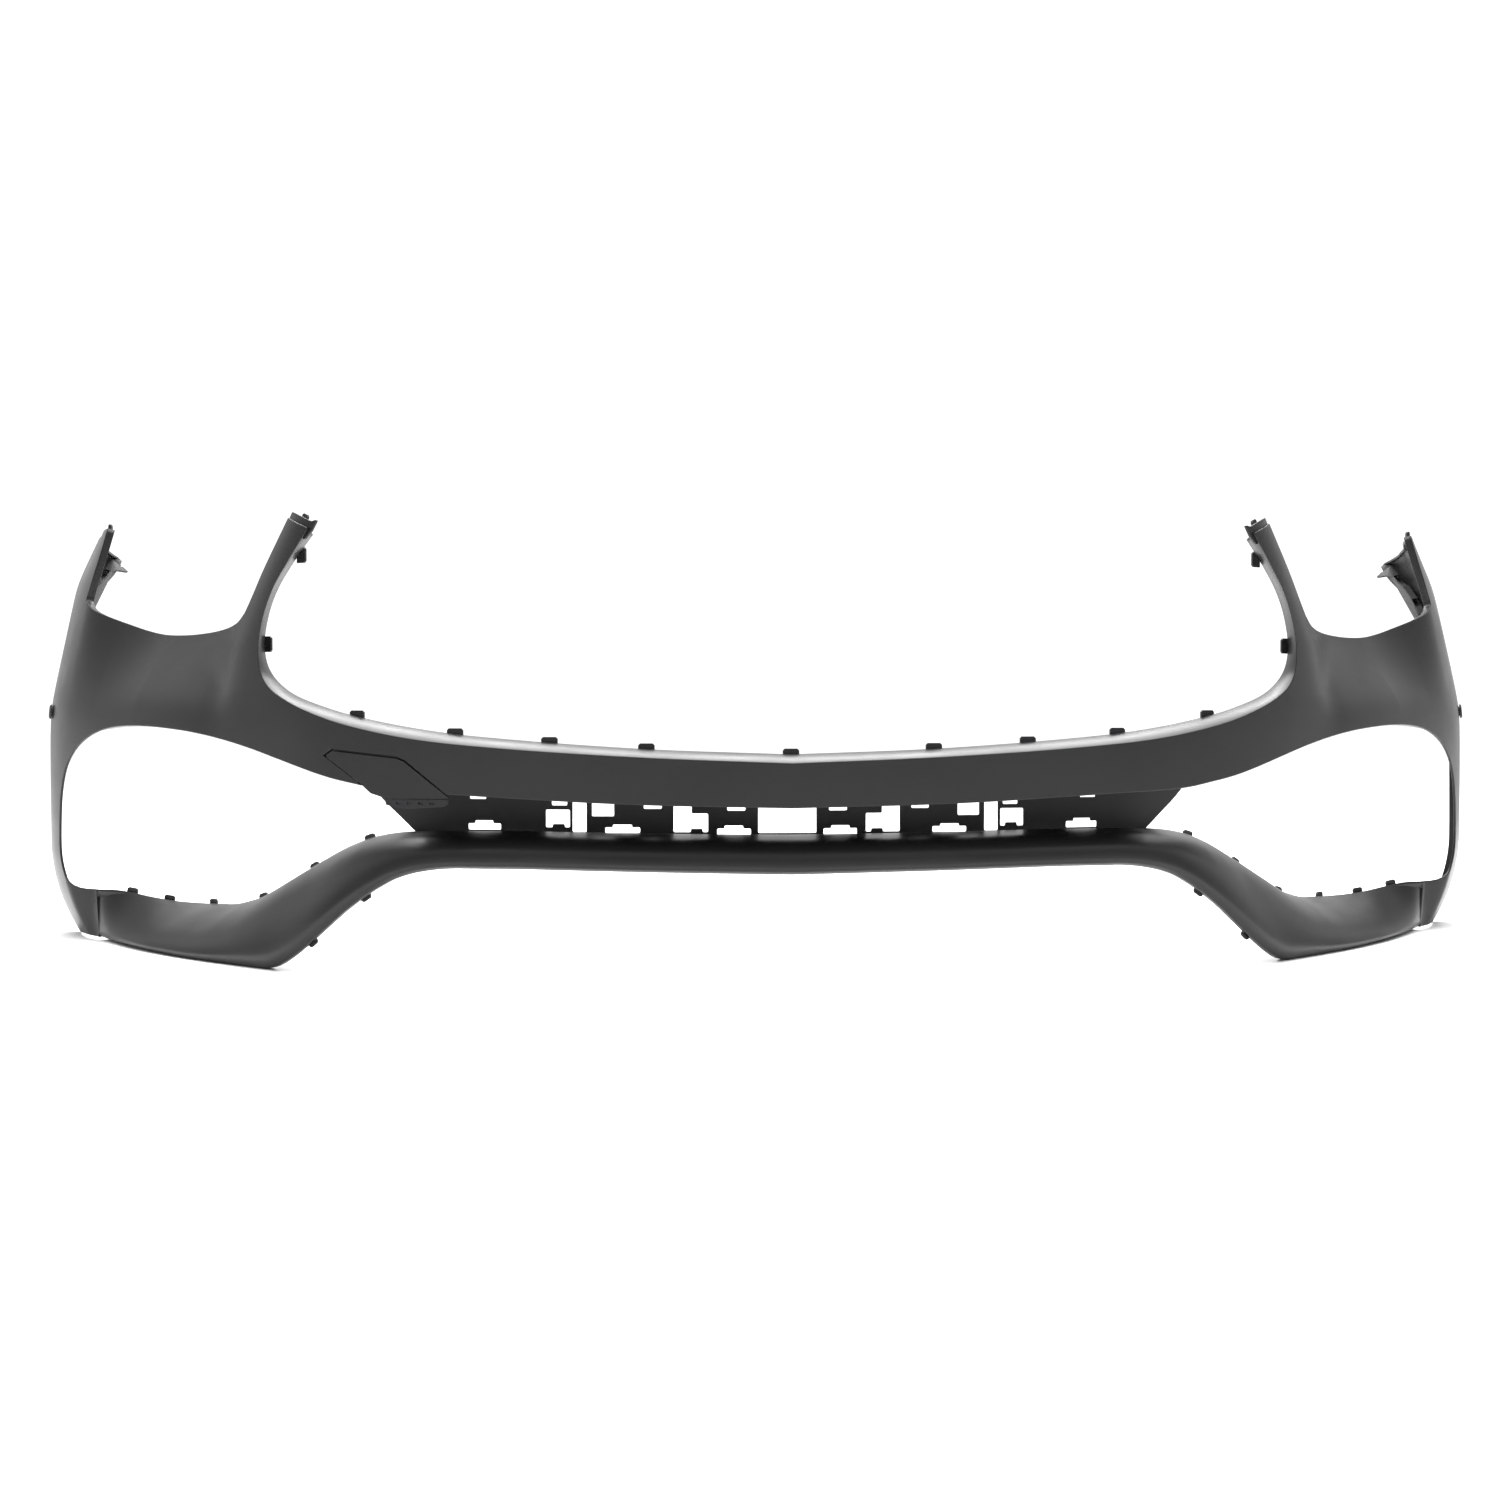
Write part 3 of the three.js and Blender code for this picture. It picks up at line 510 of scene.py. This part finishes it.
# ---- materials ----------------------------------------------------------------
def moulded(name, dark, light, rough, grain, bump, mottle=3.0):
    """Moulded plastic: slow mottling, fine grain in bump and gloss, pale rubbed edges."""
    m = bpy.data.materials.new(name)
    m.use_nodes = True
    nodes, link = m.node_tree.nodes, m.node_tree.links.new
    shader = nodes["Principled BSDF"]
    where = nodes.new("ShaderNodeTexCoord").outputs["Object"]

    def noise(scale, detail, roughness=0.5):
        node = nodes.new("ShaderNodeTexNoise")
        node.inputs["Scale"].default_value = scale
        node.inputs["Detail"].default_value = detail
        node.inputs["Roughness"].default_value = roughness
        link(where, node.inputs["Vector"])
        return node.outputs["Fac"]

    def between(factor, low, high, start, end):
        node = nodes.new("ShaderNodeMapRange")
        for key, value in (("From Min", low), ("From Max", high),
                           ("To Min", start), ("To Max", end)):
            node.inputs[key].default_value = value
        link(factor, node.inputs["Value"])
        return node.outputs["Result"]

    def mix(factor, a, b):
        node = nodes.new("ShaderNodeMix")
        node.data_type = "RGBA"
        for socket, value in ((node.inputs[6], a), (node.inputs[7], b)):
            if isinstance(value, tuple):
                socket.default_value = (*value, 1)
            else:
                link(value, socket)
        link(factor, node.inputs[0])
        return node.outputs[2]

    def paler(factor):
        return tuple(min(1, factor * c) for c in light)

    cloud = between(noise(mottle, 3), *CLOUD, 0, 1)
    speck = between(noise(grain * 0.7, 2, 0.6), *SPECK, 0, SPECK_SHARE)
    colour = mix(cloud, dark, light)
    colour = mix(speck, colour, paler(SPECK_PALE))
    edge = between(nodes.new("ShaderNodeNewGeometry").outputs["Pointiness"],
                   *WORN_EDGE, 0, WORN_SHARE)
    colour = mix(edge, colour, paler(WORN_PALE))
    link(colour, shader.inputs["Base Color"])
    link(between(noise(mottle * 4, 4), *GLOSS, rough - 0.05, rough + 0.06),
         shader.inputs["Roughness"])
    relief = nodes.new("ShaderNodeBump")
    relief.inputs["Strength"].default_value = bump
    relief.inputs["Distance"].default_value = RELIEF
    link(noise(grain, 3, 0.6), relief.inputs["Height"])
    link(relief.outputs["Normal"], shader.inputs["Normal"])
    shader.inputs["Specular IOR Level"].default_value = SHEEN
    return m


PRIMER = moulded("satin_primer", (0.0115, 0.0118, 0.012), (0.0145, 0.0148, 0.015), 0.36,
                 1500, 0.12)
BLACK = moulded("black_grained", (0.010, 0.010, 0.011), (0.014, 0.014, 0.015), 0.55,
                1100, 0.35)
BRACKET = moulded("grey_bracket", (0.020, 0.0205, 0.021), (0.027, 0.0275, 0.028), 0.55,
                  1100, 0.3)


# ---- upper cover --------------------------------------------------------------
def station_at_depth(y, z):
    """The station on the wing whose skin lies at y, found by halving."""
    low, high = (np.full(len(z), s) for s in WING_SPAN)
    for _ in range(40):
        middle = (low + high) / 2
        ahead = surface(middle, z)[:, 1] < y
        low, high = np.where(ahead, middle, low), np.where(ahead, high, middle)
    return low


def arch_edge():
    """The wheel opening's edge: a circle seen from the side."""
    z = np.arange(20, 471, 30.0)
    y = ARCH_Y - np.sqrt(ARCH_RADIUS**2 - (z - ARCH_Z) ** 2)
    edge = np.stack([station_at_depth(y, z), z], 1).tolist()
    return [ARCH_FOOT[-1], *edge, WING_TOP[0]]


def outline_half():
    """Right half of the cover's outline, with its edge depth and, on the crease, the
    matching points of the lip's rear edge."""
    n_crease = round(lengths(catmull(CREASE, 0.5))[-1] / FINE_STEP)
    crease = smooth(CREASE, count=n_crease)
    rear = smooth(LIP_REAR, count=n_crease)
    lower = smooth(LOWER_EDGE)
    turned = smoothstep(lower[:, 0], *LOWER_FLANGE_FROM)
    turned = turned * (1 - smoothstep(lower[:, 0], *LOWER_FLANGE_TO))
    tip = straight([ARM_OUTER[-1], CREASE[0]], FINE_STEP)
    arch = smooth(arch_edge())
    high = smoothstep(np.linspace(0, 1, len(arch)), 0.55, 0.65)
    parts = [
        (lower, SKIN + FLANGE * turned),
        (straight([LOWER_EDGE[-1], ARCH_FOOT[0]]), SKIN),
        (smooth(ARCH_FOOT), SKIN),
        (arch, ARCH_FLANGE + (ARCH_FLANGE_HIGH - ARCH_FLANGE) * high),
        *((smooth(line), FLANGE) for line in (WING_TOP, LAMP_REAR, LAMP_EDGE, ARM_OUTER)),
        (tip, SKIN),
    ]
    points, depth = [], []
    for line, d in parts:
        points.append(line[:-1])
        depth.append(np.full(len(line) - 1, 1.0) * (d[:-1] if np.ndim(d) else d))
    ahead = np.vstack(points)
    return ahead, np.concatenate(depth), crease, rear


def with_notch(line, depth):
    """The left half of the outline, mirrored from the right one, with the notch for the
    tow-eye cover let into the lower edge of the beam."""
    line = mirrored(line)
    (s0, _), (s1, _) = TOW_NOTCH[0], TOW_NOTCH[-1]
    first = int(np.argmax(line[:, 0] <= s0))
    after = int(np.argmax(line[:, 0] <= s1))
    notch = straight(TOW_NOTCH, FINE_STEP)
    points = np.vstack([line[:first], notch, line[after:]])
    edge = np.full(len(notch), TOW_FLANGE)
    edge[[0, -1]] = SKIN
    return points, np.concatenate([depth[:first], edge, depth[after:]])


def lip_rim(loop, rear, depth, is_lip):
    """The rim of the whole outline: along the crease its edge runs back to the rear line
    of the lip, and elsewhere it is as deep as the depth given."""
    s, z = rear[:, 0], rear[:, 1]
    end = station(s, z, set_back(s, z) * 0.6 + LIP_DEPTH)
    corner = surface(loop[:, 0], loop[:, 1])
    along = unit(end - corner)
    depth = np.where(is_lip, np.linalg.norm(end - corner, axis=1), depth)
    u = into_material(loop, False)
    across = surface(loop[:, 0] + u[:, 0], loop[:, 1] + u[:, 1]) - corner
    across = unit(across - along * (across * along).sum(1)[:, None])
    # The joint with the lower bar has nearly sharp edges, so that it closes up.
    joint = (np.abs(np.abs(loop[:, 0]) - LOWER_EDGE[-1][0]) < 0.5) & (loop[:, 1] < 62)
    notch = depth == TOW_FLANGE
    return {"depth": depth, "along": along, "across": across, "is_lip": is_lip,
            "radius": np.where(joint, JOINT_ROUND, np.where(notch, NOTCH_ROUND, ROUND))}


def plug_bore(side):
    turn = np.linspace(0, 2 * math.pi, 24, endpoint=False)
    return np.stack([side * PLUG_S + PLUG_BORE * np.cos(turn),
                     PLUG_Z + PLUG_BORE * np.sin(turn)], 1)


def upper_cover():
    ahead, ahead_depth, crease, rear = outline_half()
    left, left_depth = with_notch(ahead, ahead_depth)
    n, m, k = len(ahead), len(crease), len(left)
    # Right half outwards and back along the crease, then the left half the other way.
    loop = np.vstack([ahead, crease, mirrored(crease[:-1])[::-1], left[1:][::-1]])
    is_lip = np.concatenate([np.zeros(n, bool), np.ones(2 * m - 1, bool),
                             np.zeros(k - 1, bool)])
    rear_line = np.vstack([np.zeros((n, 2)), rear, mirrored(rear[:-1])[::-1],
                           np.zeros((k - 1, 2))])
    depth = np.concatenate([ahead_depth, np.zeros(2 * m - 1), left_depth[1:][::-1]])
    bores = [plug_bore(side) for side in (-1, 1)]
    rims = [lip_rim(loop, rear_line, depth, is_lip)]
    rims += [{"depth": np.full(len(b), SKIN)} for b in bores]
    obj = shell("upper_cover_skin", [loop, *bores], skin_point, surface, SKIN,
                PRIMER, GRID, rims)
    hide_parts("upper_cover")
    for side, name in ((-1, "left"), (1, "right")):
        tab = filleted([[side * s, z] for s, z in TIP_TAB], 2.5)
        shell(f"arm_tip_tab_{name}", [tab],
              lambda s, z, w: skin_point(s, z, w + TIP_TAB_BEHIND),
              surface, SKIN, PRIMER, GRID, radius=0.6)
        wing_pin(f"wing_pin_{name}", side)


def wing_pin(name, side):
    """A short peg with a chamfered head, on the top edge beside the headlamp."""
    s, z = np.array([side * PIN_AT[0]]), np.array([PIN_AT[1]])
    at = surface(s, z)[0] + normal_of(surface, s, z)[0] * PIN_IN
    rows = []
    for h, half_x, half_y in PIN_ROWS:
        corners = filleted([[-half_x, -half_y], [half_x, -half_y],
                            [half_x, half_y], [-half_x, half_y]], 0.8)
        rows.append(np.column_stack([corners, np.full(len(corners), h)]) + at)
    loft(name, rows, PRIMER)


# ---- lower bar ----------------------------------------------------------------
def bar_profile(s):
    """Outer line of the bar at a station, as (depth, height), bottom to top."""
    near = s + np.array(BAR_EASE)
    hb, zb, ht, zt, crest = (table(BAR, near, k).mean() for k in range(1, 6))
    line = np.array(SHELF) * crest + np.array(RAMP) * (1 - crest)
    face = line * [ht - hb, zt - zb] + [hb, zb]
    heel, toe = np.array([hb + table(RETURN, s), zb]), np.array([hb + BAR_TOE, zb])
    head = np.array([ht, zt])
    nose = catmull([toe, *face, head], 0.5, 8)
    under = [heel, heel * 0.5 + toe * 0.5, *(toe + [step, 0] for step in BAR_TOE_STEPS)]
    return np.array([*under, *nose[1:-1], *(head + step for step in BAR_HEAD)], float)


def thickened(line, wall):
    """The line, then its copy one wall further in, in reverse."""
    step = unit(np.gradient(line, axis=0))
    inner = line + np.stack([step[:, 1], -step[:, 0]], 1) * wall
    return np.vstack([line, inner[::-1]])


def lower_bar():
    end = LOWER_EDGE[-1][0] - 0.05  # just short of the joint with the upper cover
    sections = []
    for s in np.linspace(-end, end, BAR_SECTIONS):
        profile = thickened(bar_profile(abs(s)), SKIN)
        depth, z = profile[:, 0], profile[:, 1]
        sections.append(station(np.full(len(z), s), z, depth))
    obj = loft("lower_bar_skin", sections, PRIMER)
    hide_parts("lower_bar")


# ---- centre carrier -----------------------------------------------------------
def rect(s0, z0, s1, z1):
    return [[s0, z0], [s1, z0], [s1, z1], [s0, z1]]


def tee(s0, z0, s1, z1):
    """A slot with a narrower step along its top."""
    a, b, h = s0 + (s1 - s0) * 0.23, s1 - (s1 - s0) * 0.22, z0 + (z1 - z0) * 0.68
    return [[s0, z0], [s1, z0], [s1, h], [b, h], [b, z1], [a, z1], [a, h], [s0, h]]


def tabbed(s0, z0, s1, z1, t0, t1, rise=3.6):
    """A window with a small latch tab standing up from its lower edge."""
    return [[s0, z0], [t0, z0], [t0, z0 + rise], [t1, z0 + rise], [t1, z0], [s1, z0],
            [s1, z1], [s0, z1]]


def carrier_windows():
    """The middle window, then the right half's windows and their mirror images."""
    step = tabbed(87, 150, 125, 183, 93, 106)
    step = step[:-1] + [[105, 183], [105, 170], [87, 170]]
    half = [
        rect(46, 173, 66, 180), tee(40, 147, 77, 157), step, rect(138, 175, 158, 182),
        tee(162, 149, 201, 158), rect(191, 167, 216, 185.5), rect(222, 150, 238, 187),
        tabbed(241, 155, 269, 174, 247, 261), rect(244, 178.5, 262, 186),
        rect(341, 185, 362, 191.5), tee(323, 152, 364, 162),
    ]
    both = half + [mirrored(p)[::-1].tolist() for p in half]
    return [rect(-32, 149, 32, 180), *both]


def centre_carrier():
    edge = [[-CARRIER_NARROW, CARRIER_BOTTOM], [CARRIER_NARROW, CARRIER_BOTTOM],
            [CARRIER_WIDE, CARRIER_TOP], [-CARRIER_WIDE, CARRIER_TOP]]
    outer = straight([*edge, edge[0]], 9)[:-1]
    loops = [outer] + [filleted(p, 1.6) for p in carrier_windows()]
    obj = shell("centre_carrier_plate", loops, carrier_point, carrier_base, CARRIER_WALL,
                BLACK, 9, radius=0.5, slot="black_plastic", inset=0.9)
    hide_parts("centre_carrier")
    sections = []
    z0, z1 = CARRIER_TOP - 2.6, CARRIER_TOP - 0.2
    front, chamfer = CARRIER_FLANGE_FRONT, 0.6
    for s in np.arange(-CARRIER_FLANGE_HALF, CARRIER_FLANGE_HALF + 1, 10.0):
        rear = table(CARRIER_DEPTH, abs(s)) + 0.6
        line = np.array([[z0, rear], [z0, front + 0.8], [z0 + chamfer, front],
                         [z1 - chamfer, front], [z1, front + 0.8], [z1, rear]])
        sections.append(station(np.full(6, s), line[:, 0], line[:, 1]))
    loft("carrier_top_flange", sections, BLACK, slot="black_plastic")


# ---- tow-eye cover ------------------------------------------------------------
def tow_cover():
    corners = filleted(TOW_COVER, 3.0)
    edge = straight([*corners, corners[0]], FINE_STEP)[:-1]
    obj = shell("tow_cover_skin", [edge], skin_point, surface, SKIN, PRIMER, 6,
                radius=NOTCH_ROUND, body="tow_flap")
    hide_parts("tow_cover")
    z0, z1 = LATCH_SLOT_Z
    holes = [filleted(rect(s, z0, s + LATCH_SLOT_WIDTH, z1), 0.8) for s in LATCH_SLOTS]
    obj = shell("tow_latch_plate", [filleted(TOW_LATCH, 2.0), *holes],
                lambda s, z, w: skin_point(s, z, w + LATCH_BEHIND), surface, LATCH_WALL,
                BLACK, FINE_STEP, radius=0.4, body="tow_flap", slot="black_plastic",
                inset=0.7)
    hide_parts("tow_cover_latch")


def tow_seat():
    """The ledge behind the gap round the tow-eye cover, joined to the notch's flange."""
    line = straight(TOW_NOTCH, FINE_STEP)[2:-3]
    step = unit(np.diff(line, axis=0))
    turn = np.column_stack([-step[:, 1], step[:, 0]])
    before, after = np.vstack([turn[:1], turn]), np.vstack([turn, turn[-1:]])
    mitre = (before + after) / (1 + (before * after).sum(1))[:, None]
    edge, reach = line - mitre * SEAT_HIDDEN, line + mitre * SEAT_REACH
    shell("tow_cover_seat", [np.vstack([edge, reach[::-1]])],
          lambda s, z, w: skin_point(s, z, w + SEAT_DEPTH), surface, SEAT_WALL, PRIMER,
          FINE_STEP, radius=NOTCH_ROUND, inset=0.7)


upper_cover()
lower_bar()
centre_carrier()
tow_cover()
tow_seat()

# ---- carried-over CAD nodes ---------------------------------------------------
# Pieces that are replaced above are hidden. The others get soft edges and a material.
for name, node in frame["nodes"].items():
    if node.hide_render:
        continue
    bevel = node.modifiers.new("moulded_edges", "BEVEL")
    bevel.width = CAD_BEVEL
    bevel.segments = 2
    bevel.limit_method = "ANGLE"
    bevel.angle_limit = math.radians(CAD_BEVEL_ANGLE)
    node.data.materials.clear()
    node.data.materials.append(BRACKET if name.startswith("side_bracket") else BLACK)


# ---- stage --------------------------------------------------------------------
def plain_material(name, colour, rough):
    m = bpy.data.materials.new(name)
    m.use_nodes = True
    shader = m.node_tree.nodes["Principled BSDF"]
    shader.inputs["Base Color"].default_value = (*colour, 1)
    shader.inputs["Roughness"].default_value = rough
    shader.inputs["Specular IOR Level"].default_value = 0.2
    return m


def floor():
    size = FLOOR_HALF
    mesh = bpy.data.meshes.new("floor")
    mesh.from_pydata([(-size, -size, 0), (size, -size, 0), (size, size, 0),
                      (-size, size, 0)], [], [(0, 1, 2, 3)])
    obj = bpy.data.objects.new("floor", mesh)
    obj.location.z = -FLOOR_DROP
    mesh.materials.append(plain_material("pale_floor", (0.93, 0.93, 0.93), 0.85))
    bpy.context.scene.collection.objects.link(obj)


def place_towards(obj, place, target):
    """Put a camera or a light in the scene, looking at the target."""
    obj.location = place
    aim = Vector(target) - Vector(place)
    obj.rotation_euler = aim.to_track_quat("-Z", "Y").to_euler()
    bpy.context.scene.collection.objects.link(obj)


def soft_light(name, place, target, size, power):
    light = bpy.data.lights.new(name, "AREA")
    light.shape = "RECTANGLE"
    light.size, light.size_y = size
    light.energy = power
    place_towards(bpy.data.objects.new(name, light), place, target)


def world():
    """A pale room: bright above and behind the part, dimmer in front and beside it."""
    w = bpy.data.worlds.new("studio")
    bpy.context.scene.world = w
    w.use_nodes = True
    nodes, link = w.node_tree.nodes, w.node_tree.links.new
    split = nodes.new("ShaderNodeSeparateXYZ")
    link(nodes.new("ShaderNodeTexCoord").outputs["Generated"], split.inputs[0])
    total = None
    for axis, low, high, dim, bright in WORLD_RAMPS:
        ramp = nodes.new("ShaderNodeMapRange")
        ramp.interpolation_type = "SMOOTHSTEP"
        for key, value in (("From Min", low), ("From Max", high),
                           ("To Min", dim), ("To Max", bright)):
            ramp.inputs[key].default_value = value
        link(split.outputs[axis], ramp.inputs["Value"])
        if total is None:
            total = ramp.outputs["Result"]
        else:
            add = nodes.new("ShaderNodeMath")
            link(total, add.inputs[0])
            link(ramp.outputs["Result"], add.inputs[1])
            total = add.outputs[0]
    link(total, nodes["Background"].inputs["Strength"])
    nodes["Background"].inputs["Color"].default_value = (1, 1, 1, 1)


def set_camera():
    camera = bpy.data.cameras.new("camera")
    camera.lens = LENS
    camera.sensor_width = SENSOR
    camera.shift_x = SHIFT_X
    eye = bpy.data.objects.new("camera", camera)
    place_towards(eye, CAMERA_AT, LOOK_AT)
    bpy.context.scene.camera = eye


floor()
world()
for light in LIGHTS:
    soft_light(*light)
set_camera()
bpy.context.scene.view_settings.view_transform = "Standard"
